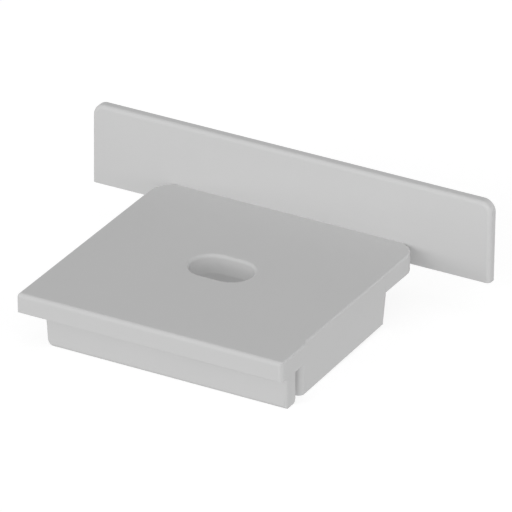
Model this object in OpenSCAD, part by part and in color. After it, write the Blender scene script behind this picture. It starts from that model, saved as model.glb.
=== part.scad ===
// Push-in end cap for a flat 40 mm wide profile, moulded in one piece of grey plastic.
// A thin plate closes the end of the profile. A tongue with a hollow box skirt under it
// pushes into the profile, and a slotted hole through the tongue takes a clamping screw.
// X runs along the plate, +Y points out of the profile and Z is up.
// The origin is the middle of the plate's inner face, which seats on the profile's end.

/* [Plate] */
// Length of the plate
plate_w = 40; // [32:0.5:60]
// Height of the plate
plate_h = 7.8; // [6.5:0.1:14]
// Thickness of the plate
plate_t = 0.9; // [0.85:0.05:2]
// Radius of the plate's two upper corners
plate_corner_r = 1.15; // [0.6:0.05:2.5]
// Rounding of the inner face's upper and side edges
plate_edge_r = 0.4; // [0.2:0.05:0.4]

/* [Tongue] */
// Width of the tongue between its two long sides
tongue_w = 25.9; // [20:0.1:30]
// Reach of the tongue from the plate's inner face
tongue_len = 25.1; // [22:0.1:40]
// Thickness of the tongue
tongue_t = 1.85; // [1.2:0.05:2.5]
// Rounding of the tongue's upper edge at the nose
nose_edge_r = 0.4; // [0.1:0.05:0.6]
// Rounding of the tongue's upper edge along both sides and round its corners
side_edge_r = 0.2; // [0.1:0.05:0.4]
// Height of the tongue's underside over the plate's lower edge
tongue_rise = 0; // [0:0.05:1]
// Radius of the two corners at the plate
tongue_root_r = 2.4; // [1:0.1:4]
// Length of the guide pad on the tongue's right side, measured from the nose
pad_len = 4.5; // [3:0.1:8]
// How far the guide pad stands out from the tongue's side
pad_out = 0.2; // [0.1:0.05:0.6]
// Radius of the guide pad's corner at the nose
pad_corner_r = 0.5; // [0.3:0.05:1]

/* [Slotted hole] */
// Width of the hole, for an M4 screw
slot_w = 4.1; // [3:0.1:5]
// Length of the hole along the plate
slot_len = 6; // [5.2:0.1:9]
// Distance of the hole's centre from the plate's inner face
slot_y = 12.1; // [11:0.1:15]
// Rounding of the hole's upper rim
slot_rim_r = 0.3; // [0.1:0.05:0.5]

/* [Skirt] */
// Depth of the skirt below the tongue, at its nose
skirt_h = 3.25; // [2:0.05:6]
// Angle by which the skirt's lower edge climbs towards the plate, and its nose face leans
skirt_climb = 1; // [0.5:0.05:2]
// Draft of the skirt's left side
left_draft = 4; // [1:0.5:8]
// Draft of the skirt's face towards the plate
rear_draft = 8.5; // [1:0.5:9]
// Thickness of the skirt's walls where they leave the tongue
wall_t = 1.6; // [1.2:0.05:2]
// Step from the tongue's nose back to the skirt
nose_step = 1.15; // [0.5:0.05:2.5]
// Step from the tongue's left side in to the skirt
left_step = 2.15; // [0.5:0.05:3]
// Gap between the plate's inner face and the skirt
plate_gap = 6.05; // [4:0.05:6.5]
// Rounding of the skirt's lower edge on the left side
skirt_left_r = 0.85; // [0.4:0.05:1.2]
// Rounding of the skirt's lower edge on the right side
skirt_right_r = 0.1; // [0.05:0.05:0.5]
// Rounding of the skirt's lower edge at the nose
foot_edge_r = 0.4; // [0.1:0.05:0.5]
// Rounding of the nose wall's lower edge inside the skirt
foot_inner_r = 0.55; // [0.1:0.05:0.6]
// Rounding of the upright corner between the nose wall's face and its right end
wall_corner_r = 0.3; // [0.1:0.05:0.6]
// Radius of the upright corners inside the skirt
hollow_r = 0.5; // [0.2:0.05:1]

/* [Slit] */
// Width of the slit that parts the right wall from the nose wall
slit_w = 1.1; // [0.6:0.05:2]
// Rounding of the right wall's free end
slit_edge_r = 0.65; // [0.2:0.05:0.9]

/* [Hidden] */
$fn = 64;
// Length that a cutter runs past the face it leaves through
past = 1;
// Depths by which the tongue runs into the plate and the skirt into the tongue
tongue_root = plate_t / 2;
skirt_root = tongue_t / 4;
// Depth by which the tongue's corner arcs run into the plate, past their rounded edge
arc_root = 0.1;
root_arc_y = side_edge_r + arc_root - tongue_root_r;
tongue_top = tongue_rise + tongue_t;
nose_y = -tongue_len;
side_x = tongue_w / 2;
pad_x = side_x + pad_out;
skirt_left_x = -side_x + left_step;
// Length of the skirt, measured where it leaves the tongue
skirt_len = tongue_len - nose_step - plate_gap;
slot_half_run = (slot_len - slot_w) / 2;

// Every form is drawn with the plate's lower edge at Z = 0, and the whole cap is then lowered.

// Extrudes an outline drawn in Y and Z to a length along X, half on each side of X = 0
module extrude_along_x(length) {
    translate([-length / 2, 0, 0])
        rotate([90, 0, 90])
            linear_extrude(height = length)
                children();
}

// Extrudes an outline drawn in X and Z, from one Y to another
module extrude_along_y(y_from, y_to) {
    translate([0, y_to, 0])
        rotate([90, 0, 0])
            linear_extrude(height = y_to - y_from)
                children();
}

// What a rounding takes off a square corner that stands at the origin, with the body at -X and -Y.
// The cutter runs past the two faces by the length over.
module corner_cut(r, over = past) {
    difference() {
        translate([-r, -r])
            square([r + over, r + over]);
        translate([-r, -r])
            circle(r = r);
    }
}

// Half section through the plate's thickness, from its middle at X = 0 out to an edge.
// Y = 0 is the inner face, whose edge is rounded.
module edge_section(reach) {
    square([reach - plate_edge_r, plate_t]);
    translate([0, plate_edge_r])
        square([reach, plate_t - plate_edge_r]);
    translate([reach - plate_edge_r, plate_edge_r])
        circle(r = plate_edge_r);
}

// The plate: rounded along the top and both sides, with a round disc for each upper corner
module plate() {
    corner_x = plate_w / 2 - plate_corner_r;
    corner_z = plate_h - plate_corner_r;
    difference() {
        intersection() {
            translate([plate_w / 2 + past, 0, 0])
                rotate([0, -90, 0])
                    linear_extrude(height = plate_w + 2 * past)
                        edge_section(plate_h);
            translate([0, 0, -past])
                linear_extrude(height = plate_h + 2 * past)
                    for (side = [0, 1])
                        mirror([side, 0])
                            edge_section(plate_w / 2);
        }
        for (side = [0, 1])
            mirror([side, 0, 0])
                translate([corner_x, -past, corner_z])
                    cube([plate_corner_r + past, plate_t + 2 * past, plate_corner_r + past]);
    }
    for (side = [-1, 1])
        translate([side * corner_x, 0, corner_z])
            rotate([-90, 0, 0])
                rotate_extrude()
                    edge_section(plate_corner_r);
}

// Half section of the tongue, from its middle at X = 0 out to a side with a rounded upper edge
module tongue_section(reach) {
    translate([0, tongue_rise]) {
        square([reach, tongue_t - side_edge_r]);
        square([reach - side_edge_r, tongue_t]);
        translate([reach - side_edge_r, tongue_t - side_edge_r])
            circle(r = side_edge_r);
    }
}

// The tongue before its nose is trimmed, with its guide pad and a round disc for each rear corner
module tongue_slab() {
    disc_x = side_x - tongue_root_r;
    extrude_along_y(nose_y - past, root_arc_y)
        for (side = [0, 1])
            mirror([side, 0])
                tongue_section(side_x);
    extrude_along_y(nose_y - past, nose_y + pad_len)
        tongue_section(pad_x);
    for (side = [-1, 1])
        translate([side * disc_x, root_arc_y, 0])
            rotate_extrude()
                tongue_section(tongue_root_r);
    extrude_along_y(root_arc_y - past, tongue_root)
        translate([-disc_x, tongue_rise])
            square([2 * disc_x, tongue_t]);
}

// The flat tongue: square at the nose with a rounded upper edge, and a rounded corner on the pad
module tongue() {
    difference() {
        tongue_slab();
        translate([-pad_x - past, nose_y, tongue_rise - past])
            mirror([0, 1, 0])
                cube([2 * (pad_x + past), 2 * past, tongue_t + 2 * past]);
        extrude_along_x(2 * (pad_x + past))
            translate([nose_y, tongue_top])
                mirror([1, 0])
                    corner_cut(nose_edge_r);
        translate([pad_x, nose_y, tongue_rise - past])
            linear_extrude(height = tongue_t + 2 * past)
                mirror([0, 1])
                    corner_cut(pad_corner_r);
    }
}

// The skirt is drawn with the upper corner of its nose face at the origin, and then tilted there
// by its climb. The nose face stands square to the lower edge.

// Side view of the skirt's outside, in Y and Z, with its lower edge rounded at the nose
module skirt_side_view() {
    climbed = skirt_len * sin(skirt_climb);
    rear_y = skirt_len * cos(skirt_climb);
    difference() {
        polygon([
            [0, skirt_root],
            [0, -skirt_h],
            [rear_y - (skirt_h - climbed) * tan(rear_draft), -skirt_h],
            [rear_y + (skirt_root + climbed) * tan(rear_draft), skirt_root]
        ]);
        translate([0, -skirt_h])
            rotate([0, 0, 180])
                corner_cut(foot_edge_r);
    }
}

// End view of the skirt's outside, in X and Z, with Z = 0 at its lower edge.
// The left side is drafted and has the wide rounding, and the right side stands upright.
module skirt_end_view() {
    height = skirt_h + skirt_root;
    foot_x = skirt_left_x + skirt_h * tan(left_draft);
    // Length of the left rounding's run on the drafted side and on the lower edge
    run = skirt_left_r * tan(45 - left_draft / 2);
    run_up = run * cos(left_draft);
    right_arc_x = side_x - skirt_right_r;
    difference() {
        polygon([
            [skirt_left_x - skirt_root * tan(left_draft), height],
            [foot_x, 0],
            [side_x, 0],
            [side_x, height]
        ]);
        translate([foot_x - past, -past])
            square([run + past, run_up + past]);
        translate([right_arc_x, -past])
            square([skirt_right_r + past, skirt_right_r + past]);
    }
    translate([foot_x + run, skirt_left_r])
        circle(r = skirt_left_r);
    translate([right_arc_x, skirt_right_r])
        circle(r = skirt_right_r);
}

// The skirt before it is hollowed
module skirt_block() {
    intersection() {
        extrude_along_x(tongue_w + 2 * past)
            skirt_side_view();
        translate([0, 0, -skirt_h])
            extrude_along_y(-past, tongue_len)
                skirt_end_view();
    }
}

// Space inside the skirt, with the flare of its lower edge at the nose wall
module hollow() {
    left = skirt_left_x + wall_t;
    right = side_x - wall_t;
    front = wall_t;
    rear = skirt_len - wall_t;
    translate([0, 0, -skirt_h - past])
        linear_extrude(height = skirt_h + skirt_root + 2 * past) {
            translate([left + hollow_r, front])
                square([right - left - 2 * hollow_r, rear - front]);
            translate([left, front + hollow_r])
                square([right - left, rear - front - 2 * hollow_r]);
            for (x = [left + hollow_r, right - hollow_r], y = [front + hollow_r, rear - hollow_r])
                translate([x, y])
                    circle(r = hollow_r);
        }
    translate([left + 2 * hollow_r, 0, 0])
        rotate([90, 0, 90])
            linear_extrude(height = side_x + past - left - 2 * hollow_r)
                translate([front, -skirt_h])
                    mirror([0, 1])
                        corner_cut(foot_inner_r, slit_w / 2);
}

// Slit between the nose wall and the right wall, with the rounded free end of the right wall,
// and the rounded upright corner at the nose wall's right end
module slit() {
    inner_x = side_x - wall_t - past;
    slit_rear = wall_t + slit_w;
    translate([0, 0, -skirt_h - past])
        linear_extrude(height = skirt_h + skirt_root + 2 * past) {
            translate([inner_x, wall_t])
                square([side_x + past - inner_x, slit_w]);
            translate([side_x, slit_rear])
                mirror([0, 1])
                    corner_cut(slit_edge_r, slit_w / 2);
            translate([side_x, 0])
                mirror([0, 1])
                    corner_cut(wall_corner_r);
        }
}

// Skirt with its hollow and slit, tilted into place
module skirt() {
    translate([0, nose_y + nose_step, tongue_rise])
        rotate([skirt_climb, 0, 0])
            difference() {
                skirt_block();
                hollow();
                slit();
            }
}

// Section of the rounded rim, from the hole's wall out to the tongue's top
module rim_section() {
    wall = slot_w / 2;
    difference() {
        translate([0, -slot_rim_r])
            square([wall + slot_rim_r, slot_rim_r + past]);
        translate([wall + slot_rim_r, -slot_rim_r])
            circle(r = slot_rim_r);
    }
}

// Slotted hole through the tongue, with its rim rounded at the top
module slotted_hole() {
    translate([0, -slot_y, 0]) {
        translate([-slot_half_run, -slot_w / 2, tongue_rise - past])
            cube([2 * slot_half_run, slot_w, tongue_t + 2 * past]);
        for (side = [-1, 1])
            translate([side * slot_half_run, 0, 0]) {
                translate([0, 0, tongue_rise - past])
                    cylinder(d = slot_w, h = tongue_t + 2 * past);
                translate([0, 0, tongue_top])
                    rotate_extrude()
                        rim_section();
            }
        for (turn = [0, 180])
            rotate([0, 0, turn])
                translate([-slot_half_run, 0, tongue_top])
                    rotate([90, 0, 90])
                        linear_extrude(height = 2 * slot_half_run)
                            rim_section();
    }
}

// The whole cap, lowered so that Z = 0 is the middle of the plate's height
module end_cap() {
    color("gainsboro")
        translate([0, 0, -plate_h / 2])
            difference() {
                union() {
                    plate();
                    tongue();
                    skirt();
                }
                slotted_hole();
            }
}

end_cap();
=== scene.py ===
import math

import bmesh
import bpy
from mathutils import Matrix, Vector


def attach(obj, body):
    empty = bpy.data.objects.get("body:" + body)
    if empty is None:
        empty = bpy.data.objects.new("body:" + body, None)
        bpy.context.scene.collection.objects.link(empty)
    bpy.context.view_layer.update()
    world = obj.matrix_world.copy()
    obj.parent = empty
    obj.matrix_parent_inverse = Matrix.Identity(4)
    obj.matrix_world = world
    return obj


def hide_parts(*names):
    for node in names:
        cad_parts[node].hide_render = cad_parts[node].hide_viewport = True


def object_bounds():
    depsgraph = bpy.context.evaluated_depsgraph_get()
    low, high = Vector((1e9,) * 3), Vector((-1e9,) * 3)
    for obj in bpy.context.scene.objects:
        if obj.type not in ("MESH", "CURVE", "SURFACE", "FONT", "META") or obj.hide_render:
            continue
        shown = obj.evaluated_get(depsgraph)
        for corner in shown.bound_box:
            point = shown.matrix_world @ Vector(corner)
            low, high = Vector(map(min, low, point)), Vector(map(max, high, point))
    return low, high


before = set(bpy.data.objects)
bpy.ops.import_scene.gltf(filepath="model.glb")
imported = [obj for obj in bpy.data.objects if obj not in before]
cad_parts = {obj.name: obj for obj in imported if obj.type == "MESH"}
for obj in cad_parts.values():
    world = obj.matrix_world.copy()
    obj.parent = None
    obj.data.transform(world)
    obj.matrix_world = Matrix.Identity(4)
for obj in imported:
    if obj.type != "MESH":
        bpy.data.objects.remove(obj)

scene = bpy.context.scene
cad_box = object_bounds()

# The cap is one push-in moulding of light grey plastic: plate, tongue and hollow skirt together.
# It comes out of the mould with sharp edges that the tool leaves very slightly rounded, so the
# solid is taken as it is and only its long sharp edges are eased.

CAP = "end_cap"
WELD = 1e-7                      # corners of the loose triangles closer than this are one corner
FLAT_TURN = math.radians(0.2)    # triangles that turn less than this lie in one face
SMOOTH_TURN = math.radians(32)   # faces that turn less than this share their normal at a corner
SHARP_TURN = math.radians(60)    # an edge that turns more than this is a sharp one
LONG_EDGE = 0.0005               # shorter ones stay sharp
EASED_EDGE = 0.00005             # rounding that the mould leaves on a sharp edge
EASED_STEPS = 2

moulding = bmesh.new()
moulding.from_mesh(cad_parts[CAP].data)
bmesh.ops.remove_doubles(moulding, verts=moulding.verts[:], dist=WELD)
bmesh.ops.dissolve_limit(
    moulding,
    angle_limit=FLAT_TURN,
    verts=moulding.verts[:],
    edges=moulding.edges[:],
)
sharp_edges = [
    edge
    for edge in moulding.edges
    if len(edge.link_faces) == 2
    and edge.calc_face_angle(0) > SHARP_TURN
    and edge.calc_length() > LONG_EDGE
]
bmesh.ops.bevel(
    moulding,
    geom=sharp_edges,
    offset=EASED_EDGE,
    affect="EDGES",
    segments=EASED_STEPS,
    profile=0.5,
    material=-1,
    clamp_overlap=False,
)
bmesh.ops.recalc_face_normals(moulding, faces=moulding.faces[:])
for face in moulding.faces:
    face.smooth = True
cap_mesh = bpy.data.meshes.new("cap")
moulding.to_mesh(cap_mesh)
moulding.free()
cap = bpy.data.objects.new("cap", cap_mesh)
scene.collection.objects.link(cap)

# A flat face stays flat beside a rounding: at each corner the normal is the mean, by area, of the
# faces that turn only a little from its own.
NEARLY_LEVEL = math.cos(SMOOTH_TURN)
meeting = [[] for vertex in cap_mesh.vertices]
for face in cap_mesh.polygons:
    for vertex in face.vertices:
        meeting[vertex].append(face)
normals = []
for face in cap_mesh.polygons:
    for vertex in face.vertices:
        near = [other for other in meeting[vertex] if other.normal.dot(face.normal) > NEARLY_LEVEL]
        normals.append(sum((other.normal * other.area for other in near), Vector()).normalized())
cap_mesh.normals_split_custom_set(normals)


class Socket:
    """One value of a shader, on which ordinary sums can be written."""

    def __init__(self, tree, out):
        self.tree = tree
        self.out = out

    def sum(self, operation, other, swap=False):
        first, second = (other, self) if swap else (self, other)
        return self.tree.node("ShaderNodeMath", {"operation": operation}, {0: first, 1: second})

    def __add__(self, other):
        return self.sum("ADD", other)

    def __radd__(self, other):
        return self.sum("ADD", other, True)

    def __sub__(self, other):
        return self.sum("SUBTRACT", other)

    def __rsub__(self, other):
        return self.sum("SUBTRACT", other, True)

    def __mul__(self, other):
        return self.sum("MULTIPLY", other)

    def __rmul__(self, other):
        return self.sum("MULTIPLY", other, True)


class Finish:
    """A material, or the room's white, whose nodes are made one at a time."""

    def __init__(self, owner):
        owner.use_nodes = True
        self.nodes = owner.node_tree.nodes
        self.links = owner.node_tree.links
        self.nodes.clear()

    def node(self, kind, settings, values, out=0):
        made = self.nodes.new(kind)
        for name, value in settings.items():
            setattr(made, name, value)
        for name, value in values.items():
            if isinstance(value, Socket):
                self.links.new(value.out, made.inputs[name])
            else:
                made.inputs[name].default_value = value
        return Socket(self, made.outputs[out]) if made.outputs else None


# The plastic has slow differences in shade and gloss where the melt flowed, and the fine texture
# of a spark-eroded mould.
GREY = 0.56
SHADE_SPREAD = 0.03
GLOSS_SPREAD = 0.1
MATT = 0.65
FLOW_SCALE = 160                 # patches of some 6 mm
SPARK_SCALE = 5200               # grains of some 0.2 mm
SPARK_DEPTH = 0.00002

plastic = bpy.data.materials.new("grey_moulded_plastic")
skin = Finish(plastic)
place = skin.node("ShaderNodeTexCoord", {}, {}, "Object")
flow = skin.node(
    "ShaderNodeTexNoise",
    {},
    {"Vector": place, "Scale": FLOW_SCALE, "Detail": 2, "Roughness": 0.5},
)
spark = skin.node(
    "ShaderNodeTexNoise",
    {},
    {"Vector": place, "Scale": SPARK_SCALE, "Detail": 3, "Roughness": 0.6},
)
shade = GREY * (1 + (flow - 0.5) * SHADE_SPREAD)
colour = skin.node("ShaderNodeCombineColor", {}, {"Red": shade, "Green": shade, "Blue": shade})
grain = skin.node(
    "ShaderNodeBump",
    {},
    {"Strength": 0.15, "Distance": SPARK_DEPTH, "Height": spark},
)
body = skin.node(
    "ShaderNodeBsdfPrincipled",
    {},
    {
        "Base Color": colour,
        "Roughness": MATT + (flow - 0.5) * GLOSS_SPREAD,
        "IOR": 1.46,
        "Specular IOR Level": 0.1,
        "Normal": grain,
    },
)
skin.node("ShaderNodeOutputMaterial", {}, {"Surface": body})
cap_mesh.materials.append(plastic)

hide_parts(CAP)
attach(cap, "root")

# The floor is a plain pale sheet under the skirt. What the camera, a reflection or clear plastic
# sees of it is white, partly by its own light, and it keeps the object's shadow.

FLOOR_Z = cad_box[0].z
FLOOR_SIZE = 4.0
PALE = 0.75
HALF_PALE = 0.45
GLOW = 0.67


def in_sight(finish):
    """One for a ray from the camera, a reflection or a clear thing, and nought for all others."""
    camera_ray, mirrored, through = [
        finish.node("ShaderNodeLightPath", {}, {}, ray)
        for ray in ("Is Camera Ray", "Is Glossy Ray", "Is Transmission Ray")
    ]
    return camera_ray + mirrored + through


floor_shape = bmesh.new()
bmesh.ops.create_grid(floor_shape, x_segments=8, y_segments=8, size=FLOOR_SIZE / 2)
bmesh.ops.translate(floor_shape, verts=floor_shape.verts[:], vec=(0, 0, FLOOR_Z))
floor_mesh = bpy.data.meshes.new("floor")
floor_shape.to_mesh(floor_mesh)
floor_shape.free()
floor = bpy.data.objects.new("floor", floor_mesh)
scene.collection.objects.link(floor)
paper = bpy.data.materials.new("pale_floor")
sheet = Finish(paper)
matt = sheet.node("ShaderNodeBsdfDiffuse", {}, {"Color": (PALE, PALE, PALE, 1)})
half = sheet.node("ShaderNodeBsdfDiffuse", {}, {"Color": (HALF_PALE, HALF_PALE, HALF_PALE, 1)})
glow = sheet.node("ShaderNodeEmission", {}, {"Color": (1, 1, 1, 1), "Strength": GLOW})
bright = sheet.node("ShaderNodeAddShader", {}, {0: half, 1: glow})
surface = sheet.node("ShaderNodeMixShader", {}, {0: in_sight(sheet), 1: matt, 2: bright})
sheet.node("ShaderNodeOutputMaterial", {}, {"Surface": surface})
floor_mesh.materials.append(paper)
# Light from the room also reaches the cap from below, as in a light tent.
floor.visible_diffuse = False
floor.visible_shadow = False

# The room is plain white all round, and lights the cap evenly at a lower level.

AMBIENT = 0.436

room = bpy.data.worlds.new("white_room")
scene.world = room
air = Finish(room)
white = air.node("ShaderNodeBackground", {}, {"Color": (1, 1, 1, 1), "Strength": 1.0})
soft = air.node("ShaderNodeBackground", {}, {"Color": (1, 1, 1, 1), "Strength": AMBIENT})
sky = air.node("ShaderNodeMixShader", {}, {0: in_sight(air), 1: soft, 2: white})
air.node("ShaderNodeOutputWorld", {}, {"Surface": sky})

# Soft boxes stand round the cap and overhead. The one on the right is small and close, so the
# side wall is lightest near the nose, and the two fills cast no shadow.

FAR, WIDE = 1.2, 0.5
CLOSE, SMALL = 0.2, 0.1


def soft_box(name, azimuth, elevation, distance, size, power, shadow=True):
    """A square lamp that faces the cap from so many degrees right of its front and up."""
    a, e = math.radians(azimuth), math.radians(elevation)
    back = Vector((math.sin(a) * math.cos(e), -math.cos(a) * math.cos(e), math.sin(e)))
    light = bpy.data.lights.new(name, "AREA")
    light.shape = "SQUARE"
    light.size = size
    light.energy = power
    light.use_shadow = shadow
    lamp = bpy.data.objects.new(name, light)
    lamp.location = back * distance
    lamp.rotation_mode = "QUATERNION"
    lamp.rotation_quaternion = (-back).to_track_quat("-Z", "Y")
    scene.collection.objects.link(lamp)


soft_box("key", -20, 20, FAR, WIDE, 2.73)
soft_box("left", -45, 3, FAR, WIDE, 3.87)
soft_box("right", 80, 3, CLOSE, SMALL, 0.133)
soft_box("front_fill", 20, 0, FAR, WIDE, 2.97, shadow=False)
soft_box("top_fill", 0, 88, FAR, WIDE, 3.1, shadow=False)
soft_box("back", 180, 0, FAR, WIDE, 4.0)

# The camera stands before the nose, to its right and above it, far away behind a long lens. Its
# place was fitted to the edges in the photograph, in pixels of a picture 512 wide.

PICTURE = 512
PLATE_LENGTH = 0.04
PLATE_HEIGHT = 0.0078
PLATE_PIXELS = 452.56            # the plate's lower edge, if it were seen square on
PIXEL = PLATE_LENGTH / PLATE_PIXELS
TURN = math.radians(28.659)      # to the right of the front
HEIGHT = math.radians(27.185)    # up from level
ROLL = math.radians(0.581)
REACH = 10000 / 1.334            # pixels from the lens to the plate
SHIFT_X, SHIFT_Y = 32.01, -24.211  # pixels from the picture's middle to that edge's, right and down

right = Vector((math.cos(TURN), math.sin(TURN), 0))
ahead = Vector(
    (
        -math.cos(HEIGHT) * math.sin(TURN),
        math.cos(HEIGHT) * math.cos(TURN),
        -math.sin(HEIGHT),
    )
)
up = right.cross(ahead)
# The fit was made from the middle of the plate's lower edge, which is below the frame's origin.
centre = (-SHIFT_X * right + SHIFT_Y * up - REACH * ahead) * PIXEL
centre.z -= PLATE_HEIGHT / 2
x_axis = right * math.cos(ROLL) + up * math.sin(ROLL)
y_axis = up * math.cos(ROLL) - right * math.sin(ROLL)
turned = Matrix((x_axis, y_axis, -ahead)).transposed().to_4x4()
lens = bpy.data.cameras.new("camera")
lens.sensor_width = 36.0
lens.lens = REACH * lens.sensor_width / PICTURE
lens.clip_start = 0.05
lens.clip_end = 20.0
camera = bpy.data.objects.new("camera", lens)
camera.matrix_world = Matrix.Translation(centre) @ turned
scene.collection.objects.link(camera)
scene.camera = camera
scene.view_settings.view_transform = "Standard"
